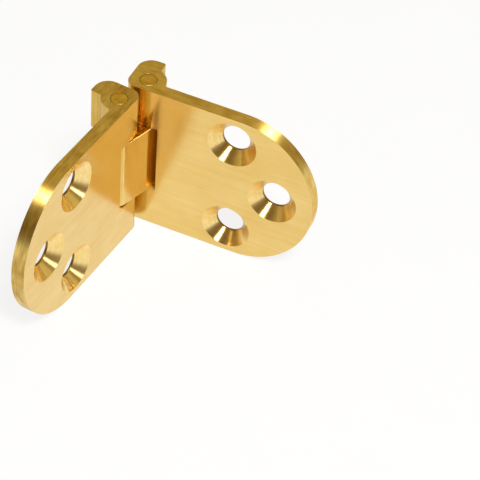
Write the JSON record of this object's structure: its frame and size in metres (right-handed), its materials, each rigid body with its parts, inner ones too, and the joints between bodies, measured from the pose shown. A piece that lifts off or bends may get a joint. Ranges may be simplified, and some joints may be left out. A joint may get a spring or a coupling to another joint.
{
  "type": "flap hinge",
  "caption": "Solid brass flap hinge: two D-shaped countersunk leaves joined by a link block on two pins, so the flap lies flat or folds face to face.",
  "frame": {"origin": "on the fixed leaf's seat, which is the back of its plate, midway between its two rows of screw holes and at half its width", "axes": "+X along the fixed leaf from the butt face to its round end, +Y out of its seat, +Z along the pins; the hinge stands on the leaves' lower sides"},
  "size_m": [0.0395, 0.0439, 0.03],
  "materials": {
    "brushed_brass": "brushed along the leaf on the faces, fine cut marks on the sides, polished countersinks",
    "link_brass": "lightly brushed, bright edges",
    "pin_brass": "ends ground flush with the leaf sides"
  },
  "bodies": {
    "fixed_side": {"fixed_leaf": "brushed_brass", "fixed_leaf_pin": "pin_brass"},
    "link_block": {"link": "link_brass"},
    "flap_side": {"flap_leaf_pin": "pin_brass", "flap_leaf": "brushed_brass"}
  },
  "joints": [
    {"name": "fixed_pivot", "type": "hinge", "parent": "fixed_side", "child": "link_block", "pos_m": [-0.0208, 0.0002, 0], "axis": [0, 0, 1], "range_deg": [-71.3, 18.7]},
    {"name": "flap_pivot", "type": "hinge", "parent": "link_block", "child": "flap_side", "pos_m": [-0.02301, -0.00634, 0], "axis": [0, 0, 1], "range_deg": [-12.8, 77.2]}
  ]
}
